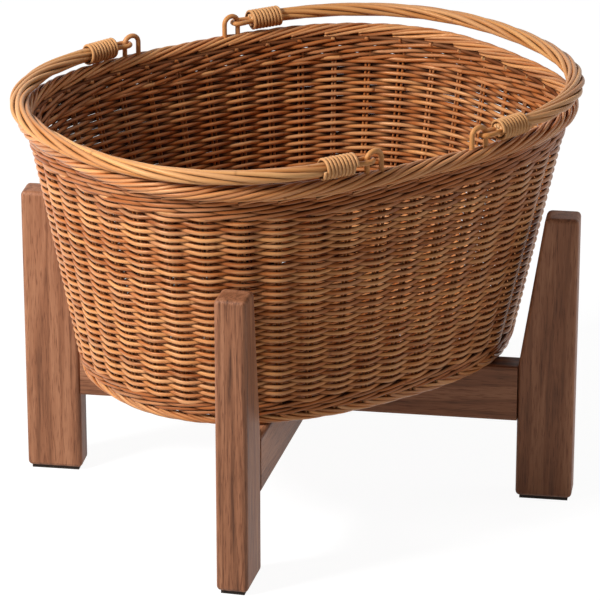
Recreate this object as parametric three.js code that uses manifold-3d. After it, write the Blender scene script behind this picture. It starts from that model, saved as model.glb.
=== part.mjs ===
// Oval wicker basket with two folding cane handles, standing in a crossed walnut stand.
// Millimetres, +Z up. The origin is on the floor under the middle of the stand, and X is the
// basket's long axis. The stand's four arms point to the front, left, right and back corners.
import * as THREE from "three";
import { mergeVertices } from "three/addons/utils/BufferGeometryUtils.js";
import Module from "manifold-3d";

const wasm = await Module();
wasm.setup();

// Clearances
const seatGap = 0.3; // between pieces that touch or fit into each other
const swingGap = 0.8; // between an eye's two arms and the ring that it swings on
const basketRestGap = 0.3; // between the foot of the basket and the beams

// Stand
const legHeight = 300;
const legThickness = 31;
const legTopWidth = 33; // the inner edge slopes out to this, beside the flared basket
const lowClearance = 23; // from the basket's wall to a leg, at the top of the beams
const highClearance = 10; // the same at the top of the leg
const edgeRound = 3.5;
const edgeSteps = 2;
const beamBottom = 84;
const beamHeight = 58;
const beamAngle = 42.75; // degrees from the long axis to each arm of the stand
const padThickness = 3;
const padInset = 4; // from the leg's edges to the pad's
const dowelDiameter = 10;
const dowelLength = 44;
const dowelSides = 12;
const dowelEdge = 16; // from the beam's top and bottom to a dowel's axis

// Basket, measured on the middle of its wall
const basketHeight = 255.5; // from the beams up to the middle of the rim border
const baseHalfLength = 218;
const baseHalfWidth = 162;
const baseSquareness = 2.32; // exponent of the oval: 2 is an ellipse, more is squarer
const rimHalfLength = 257.7;
const rimHalfWidth = 211;
const rimSquareness = 2.67;
const wallThickness = 7; // to the middle of the weave's relief, inside and outside
const wallSegments = 56;
const wallLevels = 4;
const footBorderDiameter = 12;
const footBorderTurns = 9;
const footBorderStrands = 3;
const lowerWalingHeight = 11.5;
const upperWalingHeight = 20;
const walingRows = 3;
const walingRib = 1; // how far each row stands out of the wall, inside and outside
const walingSegments = 48;
const baseThickness = 6;
const footBorderInset = 2; // from the middle of the wall in to the middle of the foot border
const rimBorderDiameter = 16;
const rimBorderTurns = 11;
const rimBorderStrands = 4;
const rimBorderOutset = 4; // from the middle of the wall out to the middle of the rim border
const borderGroove = 0.08; // depth of the grooves between strands, as a share of the radius
const rimSegments = 112;
const footSegments = 64;

// Rings, standing in the rim border
const ringFromMiddle = 60; // along X, from the middle of the basket
const ringCane = 5;
const ringOutsideWidth = 21;
const ringAboveBorder = 22;
const ringRoot = 10; // depth of its two legs in the border
const ringArcSteps = 8;
const ringSides = 8;

// Handles
const eyeCane = 5;
const eyeLength = 18.5; // from the swing axis to the binding
const eyeRootSpread = 4.4; // from the bundle's middle to each arm's middle, in the binding
const eyeRoot = 16; // length of its two arms inside the binding
const eyeArcSteps = 8;
const bindingCane = 3.2;
const bindingTurns = 9;
const bindingPitch = 3.7;
const bindingSteps = 12; // in each turn
const bindingSides = 5;
const eyeStraight = 12; // from the swing axis, before the end turns in
const endTurnIn = 7; // degrees that each end's binding turns in towards the basket
const bundleEndRadius = 6.9; // where the binding grips it
const bundleWidth = 18;
const bundleThickness = 13;
const bundleCanes = 7; // that show round the outside
const bundleGroove = 0.09; // depth of the grooves between canes, as a share of the radius
const bundleTwists = 1.5; // turns from one end of a handle to the other
const bundleSteps = 22; // along half a bow
const bundleInset = 1.5; // from the binding's mouth to the bundle's cut end
const bundlePastBinding = 1.5; // that stays straight and round past the binding
const bundleSpread = 40; // length over which the bundle flattens after that
const handleAboveBorder = 11.6; // from the top of the border to the swing axis
const bowTip = 272.5; // along X, to the middle of the bundle at its farthest
const bowTipAboveBorder = 7.5; // from the top of the border to the middle of the bundle there
const rightTipLift = 7.5; // by which the right handle lies higher at its tip
const bowStartPull = 16; // how far the bow holds its end's direction
const bowTipPull = 180; // how far it holds the direction that it has at its tip

// Places worked out from the sizes
const beamTop = beamBottom + beamHeight;
const basketFoot = beamTop + basketRestGap;
const rimHeight = basketFoot + basketHeight;
const footHeight = basketFoot + footBorderDiameter / 2;
const lowerWalingBottom = basketFoot + footBorderDiameter + seatGap;
const lowerWalingTop = lowerWalingBottom + lowerWalingHeight;
const borderTop = rimHeight + rimBorderDiameter / 2;
const upperWalingTop = rimHeight - rimBorderDiameter / 2 - seatGap;
const upperWalingBottom = upperWalingTop - upperWalingHeight;
const ringHalfSpan = (ringOutsideWidth - ringCane) / 2;
const ringArcCentre = borderTop + ringAboveBorder - ringOutsideWidth / 2;
const swingAxisX = ringFromMiddle + ringHalfSpan - ringCane / 2 - seatGap - eyeCane / 2;
const swingAxisZ = borderTop + handleAboveBorder;
const eyeHalfSpan = ringCane / 2 + swingGap + eyeCane / 2;
const bindingInner = Math.max(bundleEndRadius, eyeRootSpread + eyeCane / 2) + seatGap;
const bindingEnd = eyeLength + bindingTurns * bindingPitch + bindingCane;
const borderHalfLength = rimHalfLength + rimBorderOutset;
const borderHalfWidth = rimHalfWidth + rimBorderOutset;
const handleY = wallOffset(borderHalfLength, borderHalfWidth, rimSquareness, ringFromMiddle);
const legInner = wallAlongArm(beamTop) + lowClearance;
const legReach = wallAlongArm(legHeight) + highClearance + legTopWidth; // to its outer face
const legWidth = legReach - legInner; // from the floor up to the top of the beams

const walnut = new THREE.MeshStandardMaterial({ color: 0x8a5a3c, roughness: 0.55, metalness: 0 });
const felt = new THREE.MeshStandardMaterial({ color: 0x2a211c, roughness: 0.95, metalness: 0 });
const beech = new THREE.MeshStandardMaterial({ color: 0xc9a477, roughness: 0.7, metalness: 0 });
const cane = new THREE.MeshStandardMaterial({ color: 0xb5773f, roughness: 0.5, metalness: 0 });
const wovenCane = new THREE.MeshStandardMaterial({ color: 0xa86c38, roughness: 0.6, metalness: 0 });
const bindingSkin = new THREE.MeshStandardMaterial({ color: 0xc68d52, roughness: 0.45, metalness: 0 });

// Half the width of an oval at a distance x along its long axis.
function wallOffset(halfLength, halfWidth, squareness, x) {
  const share = Math.abs(x / halfLength) ** squareness;
  return halfWidth * (1 - share) ** (1 / squareness);
}

// The lengths and squareness of the middle of the basket's wall at a height.
function wallSizes(z) {
  const share = (z - basketFoot) / (rimHeight - basketFoot);
  return [
    baseHalfLength + (rimHalfLength - baseHalfLength) * share,
    baseHalfWidth + (rimHalfWidth - baseHalfWidth) * share,
    baseSquareness + (rimSquareness - baseSquareness) * share,
  ];
}

// From the middle of the basket out to its wall's outer face, along one arm of the stand.
function wallAlongArm(z) {
  const [halfLength, halfWidth, squareness] = wallSizes(z);
  const arm = THREE.MathUtils.degToRad(beamAngle);
  const alongX = Math.cos(arm) / (halfLength + wallThickness / 2);
  const alongY = Math.sin(arm) / (halfWidth + wallThickness / 2);
  return (alongX ** squareness + alongY ** squareness) ** (-1 / squareness);
}

// Points at equal distances round an oval, anticlockwise from +X, in the plane z.
function oval(halfLength, halfWidth, squareness, z, count) {
  const fine = 1440;
  const power = 2 / squareness;
  const dense = [];
  for (let i = 0; i <= fine; i++) {
    const angle = (2 * Math.PI * i) / fine;
    const c = Math.cos(angle);
    const s = Math.sin(angle);
    const x = halfLength * Math.sign(c) * Math.abs(c) ** power;
    const y = halfWidth * Math.sign(s) * Math.abs(s) ** power;
    dense.push(new THREE.Vector3(x, y, z));
  }
  const along = [0];
  for (let i = 1; i <= fine; i++) along.push(along[i - 1] + dense[i].distanceTo(dense[i - 1]));
  const points = [];
  let at = 0;
  for (let k = 0; k < count; k++) {
    const target = (along[fine] * k) / count;
    while (along[at + 1] < target) at += 1;
    const share = (target - along[at]) / (along[at + 1] - along[at]);
    points.push(dense[at].clone().lerp(dense[at + 1], share));
  }
  return points;
}

// The middle of the basket's wall at a height, moved out by a distance.
function wallRing(z, outwards, count) {
  const [halfLength, halfWidth, squareness] = wallSizes(z);
  return oval(halfLength + outwards, halfWidth + outwards, squareness, z, count);
}

// A closed skin over rings of points. Each ring turns anticlockwise as seen by an eye that it
// travels towards. An open row of rings gets an end cap at each end.
function skin(rings, closed) {
  const count = rings[0].length;
  const positions = rings.flat().flatMap((p) => [p.x, p.y, p.z]);
  const faces = [];
  const last = closed ? rings.length : rings.length - 1;
  for (let k = 0; k < last; k++) {
    const here = k * count;
    const next = ((k + 1) % rings.length) * count;
    for (let i = 0; i < count; i++) {
      const j = (i + 1) % count;
      faces.push(here + i, here + j, next + j, here + i, next + j, next + i);
    }
  }
  if (!closed) {
    for (const end of [0, rings.length - 1]) {
      const middle = new THREE.Vector3();
      rings[end].forEach((p) => middle.add(p));
      middle.divideScalar(count);
      const hub = positions.length / 3;
      positions.push(middle.x, middle.y, middle.z);
      for (let i = 0; i < count; i++) {
        const a = end * count + i;
        const b = end * count + ((i + 1) % count);
        faces.push(hub, end === 0 ? b : a, end === 0 ? a : b);
      }
    }
  }
  const geometry = new THREE.BufferGeometry();
  geometry.setAttribute("position", new THREE.Float32BufferAttribute(positions, 3));
  geometry.setIndex(faces);
  geometry.computeVertexNormals();
  return geometry;
}

// A section carried along a path. side(k) gives the direction that the section's first axis
// keeps to at point k, and section(k) gives the section's points as [along side, across it].
function sweep(path, side, section, closed = false) {
  const rings = path.map((point, k) => {
    const before = path[closed ? (k + path.length - 1) % path.length : Math.max(k - 1, 0)];
    const after = path[closed ? (k + 1) % path.length : Math.min(k + 1, path.length - 1)];
    const travel = after.clone().sub(before).normalize();
    const first = side(k).clone();
    first.addScaledVector(travel, -first.dot(travel)).normalize();
    const second = travel.clone().cross(first);
    return section(k).map(([a, b]) =>
      point.clone().addScaledVector(first, a).addScaledVector(second, b),
    );
  });
  return skin(rings, closed);
}

function circle(radius, sides) {
  const points = [];
  for (let i = 0; i < sides; i++) {
    const angle = (2 * Math.PI * i) / sides;
    points.push([radius * Math.cos(angle), radius * Math.sin(angle)]);
  }
  return points;
}

// A round section with one swelling for each strand, turned by an angle.
function strandSection(halfFirst, halfSecond, strands, groove, turn, pointsPerStrand) {
  const count = strands * pointsPerStrand;
  const points = [];
  for (let i = 0; i < count; i++) {
    const angle = (2 * Math.PI * i) / count;
    const reach = 1 - groove + groove * Math.cos(strands * angle);
    const at = angle + turn;
    points.push([halfFirst * reach * Math.cos(at), halfSecond * reach * Math.sin(at)]);
  }
  return points;
}

function toSolid(geometry) {
  const bare = geometry.clone();
  bare.deleteAttribute("normal");
  bare.deleteAttribute("uv");
  const merged = mergeVertices(bare, 1e-4);
  const vertProperties = merged.getAttribute("position").array;
  const triVerts = new Uint32Array(merged.index.array);
  return new wasm.Manifold(new wasm.Mesh({ numProp: 3, vertProperties, triVerts }));
}

function cutFrom(geometry, tools) {
  let solid = toSolid(geometry);
  for (const tool of tools) solid = solid.subtract(toSolid(tool));
  const mesh = solid.getMesh();
  const result = new THREE.BufferGeometry();
  result.setAttribute("position", new THREE.BufferAttribute(mesh.vertProperties, 3));
  result.setIndex(new THREE.BufferAttribute(mesh.triVerts, 1));
  result.computeVertexNormals();
  return result;
}

function named(name, geometry, material) {
  const mesh = new THREE.Mesh(geometry, material);
  mesh.name = name;
  return mesh;
}

// A round bar along X, from one x to another.
function barAlongX(radius, from, to, y, z, sides) {
  const bar = new THREE.CylinderGeometry(radius, radius, to - from, sides);
  bar.rotateZ(Math.PI / 2);
  return bar.translate((from + to) / 2, y, z);
}

const group = new THREE.Group();
const stand = new THREE.Group();
const basket = new THREE.Group();
group.add(stand, basket);

// Legs: a board with all its edges rounded. In an arm's own frame X points out along the arm.
const dowelHeights = [beamBottom + dowelEdge, beamTop - dowelEdge];

function legBoard() {
  const bottom = padThickness + seatGap;
  const corners = [
    [legReach, bottom],
    [legReach, legHeight],
    [legReach - legTopWidth, legHeight],
    [legInner, beamTop],
    [legInner, bottom],
  ].map(([x, z]) => new THREE.Vector2(x, z));
  // The outline is drawn in by the round, which the bevel then puts back.
  const outline = new THREE.Shape();
  const inset = corners.map((corner, i) => {
    const before = corners[(i + corners.length - 1) % corners.length];
    const after = corners[(i + 1) % corners.length];
    const a = before.clone().sub(corner).normalize();
    const b = after.clone().sub(corner).normalize();
    const halfAngle = Math.acos(a.dot(b)) / 2;
    const towards = a.add(b).normalize();
    return corner.clone().addScaledVector(towards, edgeRound / Math.sin(halfAngle));
  });
  outline.setFromPoints(inset);
  const board = new THREE.ExtrudeGeometry(outline, {
    depth: legThickness - 2 * edgeRound,
    bevelThickness: edgeRound,
    bevelSize: edgeRound,
    bevelSegments: edgeSteps,
    steps: 1,
  });
  board.translate(0, 0, -(legThickness - 2 * edgeRound) / 2);
  board.rotateX(Math.PI / 2);
  return board;
}

const dowelInLeg = dowelLength / 2;
const dowelHole = dowelDiameter / 2 + seatGap;
const beamEnd = legInner - seatGap;

function dowelHoles(from, to) {
  return dowelHeights.map((z) => barAlongX(dowelHole, from, to, 0, z, dowelSides));
}

const arms = { front: 180 + beamAngle, left: 180 - beamAngle, right: -beamAngle, back: beamAngle };
for (const [corner, degrees] of Object.entries(arms)) {
  const arm = new THREE.Group();
  arm.rotation.z = THREE.MathUtils.degToRad(degrees);
  const holes = dowelHoles(legInner - 1, legInner + dowelInLeg + seatGap);
  arm.add(named(`leg_${corner}`, cutFrom(legBoard(), holes), walnut));
  const pad = new THREE.BoxGeometry(
    legWidth - 2 * padInset,
    legThickness - 2 * padInset,
    padThickness,
  );
  const foot = named(`foot_pad_${corner}`, pad, felt);
  foot.position.set(legReach - legWidth / 2, 0, padThickness / 2);
  arm.add(foot);
  dowelHeights.forEach((z, i) => {
    const from = beamEnd + seatGap / 2 - dowelInLeg;
    const dowel = barAlongX(dowelDiameter / 2, from, from + dowelLength, 0, z, dowelSides);
    arm.add(named(`dowel_${corner}_${i === 0 ? "lower" : "upper"}`, dowel, beech));
  });
  stand.add(arm);
}

// Beams: a board along X with rounded long edges, half lapped where the two cross.
function beamBoard() {
  const halfHeight = beamHeight / 2;
  const halfThickness = legThickness / 2;
  const section = new THREE.Shape();
  const turns = [
    [halfHeight - edgeRound, halfThickness - edgeRound, 0],
    [-halfHeight + edgeRound, halfThickness - edgeRound, 90],
    [-halfHeight + edgeRound, -halfThickness + edgeRound, 180],
    [halfHeight - edgeRound, -halfThickness + edgeRound, 270],
  ];
  const points = [];
  for (const [z, y, start] of turns) {
    for (let i = 0; i <= edgeSteps; i++) {
      const angle = THREE.MathUtils.degToRad(start + (90 * i) / edgeSteps);
      const across = z + edgeRound * Math.cos(angle);
      points.push(new THREE.Vector2(across, y + edgeRound * Math.sin(angle)));
    }
  }
  section.setFromPoints(points);
  const beam = new THREE.ExtrudeGeometry(section, { depth: 2 * beamEnd, bevelEnabled: false });
  // The section's first axis becomes -Z and the run becomes X.
  beam.translate(0, 0, -beamEnd);
  beam.rotateY(Math.PI / 2);
  return beam.translate(0, 0, beamBottom + halfHeight);
}

function beamAlong(degrees, otherDegrees, cutUpperHalf) {
  const lapHeight = beamHeight / 2 + seatGap / 2;
  const overcut = 1; // past the beam's edge
  const lapWidth = legThickness + 2 * seatGap;
  const lap = new THREE.BoxGeometry(4 * legThickness, lapWidth, lapHeight + overcut);
  lap.rotateZ(THREE.MathUtils.degToRad(otherDegrees - degrees));
  const fromMiddle = (beamHeight - lapHeight + overcut) / 2;
  const middle = beamBottom + beamHeight / 2;
  lap.translate(0, 0, middle + (cutUpperHalf ? fromMiddle : -fromMiddle));
  const holes = [
    ...dowelHoles(beamEnd - dowelInLeg - seatGap, beamEnd + 1),
    ...dowelHoles(-beamEnd - 1, -beamEnd + dowelInLeg + seatGap),
  ];
  const geometry = cutFrom(beamBoard(), [lap, ...holes]);
  const turned = new THREE.Group();
  turned.rotation.z = THREE.MathUtils.degToRad(degrees);
  return { geometry, turned };
}

const crossing = [
  ["beam_left_right", -beamAngle, beamAngle, true],
  ["beam_front_back", beamAngle, -beamAngle, false],
];
for (const [name, degrees, otherDegrees, cutUpperHalf] of crossing) {
  const { geometry, turned } = beamAlong(degrees, otherDegrees, cutUpperHalf);
  turned.add(named(name, geometry, walnut));
  stand.add(turned);
}

// Woven wall and bands: a closed band round the basket between two heights, with its
// thickness set at each height by a bulge.
function wovenBand(bottom, top, levels, segments, bulge) {
  const heights = [];
  for (let i = 0; i <= levels; i++) heights.push(bottom + ((top - bottom) * i) / levels);
  const outer = heights.map((z, i) => wallRing(z, wallThickness / 2 + bulge(i), segments));
  const inner = heights.map((z, i) => wallRing(z, -wallThickness / 2 - bulge(i), segments));
  return skin([...inner.reverse(), ...outer], true);
}

const sideBottom = lowerWalingTop + seatGap;
const sideTop = upperWalingBottom - seatGap;
const flat = () => 0;
const sideWall = wovenBand(sideBottom, sideTop, wallLevels, wallSegments, flat);
basket.add(named("side_weave", sideWall, wovenCane));

// Each row of a waling stands out as one rib.
const rib = (i) => (i % 2 === 1 ? walingRib : 0);
const ribLevels = 2 * walingRows;
const upperWaling = wovenBand(upperWalingBottom, upperWalingTop, ribLevels, walingSegments, rib);
const lowerWaling = wovenBand(lowerWalingBottom, lowerWalingTop, ribLevels, walingSegments, rib);
basket.add(named("upper_waling", upperWaling, wovenCane));
basket.add(named("lower_waling", lowerWaling, wovenCane));

// Rolled borders: strands laid over each other like a rope, round the rim and round the foot.
function rolledBorder(path, diameter, strands, turns, pointsPerStrand) {
  const outward = (k) => {
    const before = path[(k + path.length - 1) % path.length];
    const after = path[(k + 1) % path.length];
    return new THREE.Vector3(after.y - before.y, before.x - after.x, 0).normalize();
  };
  const section = (k) => {
    const turn = (2 * Math.PI * turns * k) / path.length;
    const radius = diameter / 2;
    return strandSection(radius, radius, strands, borderGroove, turn, pointsPerStrand);
  };
  return sweep(path, outward, section, true);
}

const rimPath = oval(borderHalfLength, borderHalfWidth, rimSquareness, rimHeight, rimSegments);
const rimRoll = rolledBorder(rimPath, rimBorderDiameter, rimBorderStrands, rimBorderTurns, 3);
const footPath = wallRing(footHeight, -footBorderInset, footSegments);
const footRoll = rolledBorder(
  footPath,
  footBorderDiameter,
  footBorderStrands,
  footBorderTurns,
  3,
);
basket.add(named("foot_border", footRoll, wovenCane));

// Woven base: an oval plate inside the lower waling, seated on the foot border's inner shoulder.
function basePlate() {
  const inset = wallThickness / 2 + walingRib + seatGap;
  const spread = Math.max(rimHalfLength - baseHalfLength, rimHalfWidth - baseHalfWidth);
  const flare = spread / (rimHeight - basketFoot);
  const fromBorder = inset - footBorderInset - (flare * footBorderDiameter) / 2;
  const seat = Math.sqrt((footBorderDiameter / 2 + seatGap) ** 2 - fromBorder ** 2);
  const bottom = footHeight + seat;
  const edge = (z) => wallRing(z, -inset, walingSegments);
  return skin([edge(bottom), edge(bottom + baseThickness)], false);
}
basket.add(named("base_weave", basePlate(), wovenCane));

// Rings: a hooped cane that stands in two sockets in the rim border. It lies in an XZ plane.
function ringPath(x, y) {
  const path = [new THREE.Vector3(x - ringHalfSpan, y, borderTop - ringRoot)];
  for (let i = 0; i <= ringArcSteps; i++) {
    const angle = Math.PI * (1 - i / ringArcSteps);
    const dx = ringHalfSpan * Math.cos(angle);
    path.push(new THREE.Vector3(x + dx, y, ringArcCentre + ringHalfSpan * Math.sin(angle)));
  }
  path.push(new THREE.Vector3(x + ringHalfSpan, y, borderTop - ringRoot));
  return path;
}

function ringSockets(x, y) {
  return [x - ringHalfSpan, x + ringHalfSpan].map((legX) => {
    const depth = ringRoot + seatGap + 1;
    const hole = new THREE.CylinderGeometry(
      ringCane / 2 + seatGap,
      ringCane / 2 + seatGap,
      depth,
      ringSides,
    );
    hole.rotateX(Math.PI / 2);
    return hole.translate(legX, y, borderTop + 1 - depth / 2);
  });
}

const corners = [
  ["back_left", -1, 1],
  ["back_right", 1, 1],
  ["front_left", -1, -1],
  ["front_right", 1, -1],
];
const across = new THREE.Vector3(0, 1, 0);
const sockets = [];
for (const [corner, sideX, sideY] of corners) {
  const x = sideX * ringFromMiddle;
  const y = sideY * handleY;
  const path = ringPath(x, y);
  const ring = sweep(path, () => across, () => circle(ringCane / 2, ringSides));
  basket.add(named(`handle_ring_${corner}`, ring, cane));
  sockets.push(...ringSockets(x, y));
}
basket.add(named("rim_border", cutFrom(rimRoll, sockets), wovenCane));

// Handles. side is -1 for the left handle and 1 for the right one. sideY is 1 for a handle's
// back end and -1 for its front end.
const up = new THREE.Vector3(0, 0, 1);
const turnIn = THREE.MathUtils.degToRad(endTurnIn);

function bowTipZ(side) {
  return borderTop + bowTipAboveBorder + (side > 0 ? rightTipLift : 0);
}

function handleHeight(side, x) {
  const share = (x - swingAxisX) / (bowTip - swingAxisX);
  return swingAxisZ + (bowTipZ(side) - swingAxisZ) * share;
}

// A point on an end's middle line, at a distance from the swing axis, moved sideways away
// from the basket and upwards.
function onEnd(side, sideY, distance, sideways = 0, upwards = 0) {
  const before = Math.min(distance, eyeStraight);
  const after = distance - before;
  const turn = after > 0 ? turnIn : 0;
  const x = swingAxisX + before + after * Math.cos(turn) + sideways * Math.sin(turn);
  const y = handleY - after * Math.sin(turn) + sideways * Math.cos(turn);
  return new THREE.Vector3(side * x, sideY * y, handleHeight(side, x) + upwards);
}

const bundleStart = eyeLength + bundleInset;
const bundleStraightEnd = bindingEnd + bundlePastBinding;

// The bundle's middle line from one end of the handle to the tip of its bow.
function halfBow(side, sideY) {
  const start = onEnd(side, sideY, bundleStraightEnd);
  const startPull = onEnd(side, sideY, bundleStraightEnd + bowStartPull);
  const tip = new THREE.Vector3(side * bowTip, 0, bowTipZ(side));
  const tipPull = new THREE.Vector3(side * bowTip, sideY * bowTipPull, bowTipZ(side));
  const bow = new THREE.CubicBezierCurve3(start, startPull, tipPull, tip);
  const middle = onEnd(side, sideY, (bundleStart + bundleStraightEnd) / 2);
  return [onEnd(side, sideY, bundleStart), middle, ...bow.getSpacedPoints(bundleSteps)];
}

function handlePath(side) {
  const back = halfBow(side, 1);
  const front = halfBow(side, -1).reverse();
  return [...back, ...front.slice(1)];
}

// Two grooves in the sides of each end of the bundle hold the eye's arms.
function eyeGrooves(side) {
  const from = bundleStart - 1;
  const to = eyeLength + eyeRoot + seatGap;
  const half = eyeCane / 2 + seatGap;
  const outside = bundleEndRadius + 1 - eyeRootSpread;
  const tools = [];
  for (const sideY of [-1, 1]) {
    for (const arm of [-1, 1]) {
      const sideways = arm * eyeRootSpread;
      const ends = [from, to].map((at) => onEnd(side, sideY, at, sideways));
      // The section's second axis is the travel direction turned a quarter from up.
      const opensAlong = -side * sideY * arm;
      const low = opensAlong > 0 ? -half : -outside;
      const high = opensAlong > 0 ? outside : half;
      const section = () => [[-half, low], [half, low], [half, high], [-half, high]];
      tools.push(sweep(ends, () => up, section));
    }
  }
  return tools;
}

function bundle(side) {
  const path = handlePath(side);
  const along = [0];
  for (let k = 1; k < path.length; k++) along.push(along[k - 1] + path[k].distanceTo(path[k - 1]));
  const total = along[along.length - 1];
  const grip = bundleStraightEnd - bundleStart;
  const section = (k) => {
    const fromEnd = Math.min(along[k], total - along[k]);
    const spread = THREE.MathUtils.smoothstep(fromEnd, grip, grip + bundleSpread);
    const halfHeight = THREE.MathUtils.lerp(bundleEndRadius, bundleThickness / 2, spread);
    const halfWidth = THREE.MathUtils.lerp(bundleEndRadius, bundleWidth / 2, spread);
    const turn = (2 * Math.PI * bundleTwists * along[k]) / total;
    return strandSection(halfHeight, halfWidth, bundleCanes, bundleGroove, turn, 2);
  };
  return cutFrom(sweep(path, () => up, section), eyeGrooves(side));
}

// Eye: one cane bent into a long loop. It goes round the ring's leg and through the ring, and
// its two arms draw together and run into the binding.
function eye(side, sideY) {
  const arm = (way) => [
    onEnd(side, sideY, eyeLength + eyeRoot, way * eyeRootSpread),
    onEnd(side, sideY, eyeLength, way * eyeRootSpread),
    onEnd(side, sideY, eyeStraight - eyeCane / 2, way * eyeHalfSpan),
  ];
  const path = arm(-1);
  for (let i = 0; i <= eyeArcSteps; i++) {
    const angle = -Math.PI / 2 - (Math.PI * i) / eyeArcSteps;
    const distance = eyeHalfSpan + eyeHalfSpan * Math.cos(angle);
    path.push(onEnd(side, sideY, distance, eyeHalfSpan * Math.sin(angle)));
  }
  path.push(...arm(1).reverse());
  return sweep(path, () => up, () => circle(eyeCane / 2, ringSides));
}

// Binding: one cane wound round the bundle and the eye's arms, its two ends straight.
const bindingRadius = bindingInner + bindingCane / 2;

function windingPath(side, sideY) {
  const steps = bindingTurns * bindingSteps;
  const start = eyeLength + bindingCane / 2;
  const path = [];
  const outward = [];
  for (let i = 0; i <= steps; i++) {
    const angle = (2 * Math.PI * i) / bindingSteps;
    const at = start + (bindingPitch * i) / bindingSteps;
    const sideways = bindingRadius * Math.cos(angle);
    const upwards = bindingRadius * Math.sin(angle);
    path.push(onEnd(side, sideY, at, sideways, upwards));
    outward.push(path[i].clone().sub(onEnd(side, sideY, at)).normalize());
  }
  // Each end leaves the turns on a straight line, one cane's diameter long.
  const first = path[0].clone().sub(path[1]).normalize();
  const final = path[steps].clone().sub(path[steps - 1]).normalize();
  path.unshift(path[0].clone().addScaledVector(first, bindingCane));
  path.push(path[path.length - 1].clone().addScaledVector(final, bindingCane));
  outward.unshift(outward[0]);
  outward.push(outward[outward.length - 1]);
  return { path, outward };
}

// The least gap between one stretch of a winding and the rest of it, on points along it.
function leastSelfGap(path) {
  const apart = bindingSteps / 2;
  let least = Infinity;
  for (let i = 0; i < path.length; i++) {
    for (let j = i + apart; j < path.length; j++) {
      least = Math.min(least, path[i].distanceTo(path[j]));
    }
  }
  return least - bindingCane;
}

for (const [name, side] of [["left", -1], ["right", 1]]) {
  const handle = new THREE.Group();
  handle.add(named(`handle_${name}_canes`, bundle(side), cane));
  for (const [end, sideY] of [["back", 1], ["front", -1]]) {
    handle.add(named(`handle_${name}_eye_${end}`, eye(side, sideY), cane));
    const { path, outward } = windingPath(side, sideY);
    const section = () => circle(bindingCane / 2, bindingSides);
    const winding = sweep(path, (k) => outward[k], section);
    handle.add(named(`handle_${name}_binding_${end}`, winding, bindingSkin));
    console.log(`${name} ${end} binding: least self gap ${leastSelfGap(path).toFixed(2)} mm`);
  }
  basket.add(handle);
}

export default group;
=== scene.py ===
# %% [markdown]
# # An oval wicker basket in a crossed walnut stand
#
# The packed CAD model comes in first and stays as it is. It says where each piece sits and
# which body it moves with. The cells below give it looks: real woven cane in place of the
# plain basket walls, single canes in place of the grooved handles, and softly rounded walnut
# boards in place of the faceted ones.

import math

import bmesh
import bpy
import numpy as np
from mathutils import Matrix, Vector


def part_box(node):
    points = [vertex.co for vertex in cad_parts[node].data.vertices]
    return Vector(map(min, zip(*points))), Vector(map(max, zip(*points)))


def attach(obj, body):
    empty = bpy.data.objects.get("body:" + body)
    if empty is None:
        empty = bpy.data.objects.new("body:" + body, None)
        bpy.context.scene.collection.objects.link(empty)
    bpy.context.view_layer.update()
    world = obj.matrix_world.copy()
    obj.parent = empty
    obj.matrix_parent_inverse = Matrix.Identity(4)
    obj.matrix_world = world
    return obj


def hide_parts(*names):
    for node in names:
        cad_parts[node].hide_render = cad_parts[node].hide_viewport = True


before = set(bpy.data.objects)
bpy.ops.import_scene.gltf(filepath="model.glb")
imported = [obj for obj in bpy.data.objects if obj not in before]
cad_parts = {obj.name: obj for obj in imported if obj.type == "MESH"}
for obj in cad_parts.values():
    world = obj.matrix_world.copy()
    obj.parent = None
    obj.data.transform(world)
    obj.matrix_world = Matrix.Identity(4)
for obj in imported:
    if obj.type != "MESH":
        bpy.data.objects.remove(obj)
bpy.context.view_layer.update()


# %% [markdown]
# ## Camera, floor and light
#
# The photograph is a long-lens picture from the front left, 21 degrees above the level. The
# floor is a pale sheet, and three soft area lamps and a pale world light the basket evenly, so
# that a colour comes out about as it is written.

# %% Camera
def aim_camera():
    data = bpy.data.cameras.new("photo_camera")
    data.lens = 221.5
    data.sensor_width = 36.0
    data.clip_end = 20.0
    camera = bpy.data.objects.new("photo_camera", data)
    bpy.context.scene.collection.objects.link(camera)
    camera.location = (-1.9135, -2.8389, 1.5387)
    camera.rotation_euler = (math.pi / 2 - 0.374, 0.0, -0.5934)
    bpy.context.scene.camera = camera
    return camera


camera = aim_camera()
bpy.context.scene.view_settings.view_transform = "Standard"
print("camera at", tuple(round(v, 3) for v in camera.location), "lens", camera.data.lens)


# %% Lamps
def add_lamp(name, place, target, size, watts):
    data = bpy.data.lights.new(name, "AREA")
    data.shape = "RECTANGLE"
    data.size, data.size_y = size
    data.energy = watts
    lamp = bpy.data.objects.new(name, data)
    bpy.context.scene.collection.objects.link(lamp)
    lamp.location = place
    towards = Vector(target) - Vector(place)
    lamp.rotation_euler = towards.to_track_quat("-Z", "Y").to_euler()
    return lamp


middle = (0.0, 0.0, 0.25)
add_lamp("key_left", (-2.05, 0.15, 1.67), middle, (0.6, 0.6), 78.0)
add_lamp("fill_right", (2.3, -1.4, 1.0), middle, (1.2, 1.0), 12.0)
add_lamp("top", (-0.3, 0.3, 2.4), middle, (1.0, 1.0), 3.0)


# %% [markdown]
# ## Shader helpers
#
# A material's maths reads best as a Python expression. Wire wraps one socket, and adding or
# multiplying wires adds the Math nodes. Finish is a new material with one method for any other
# node.

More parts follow.
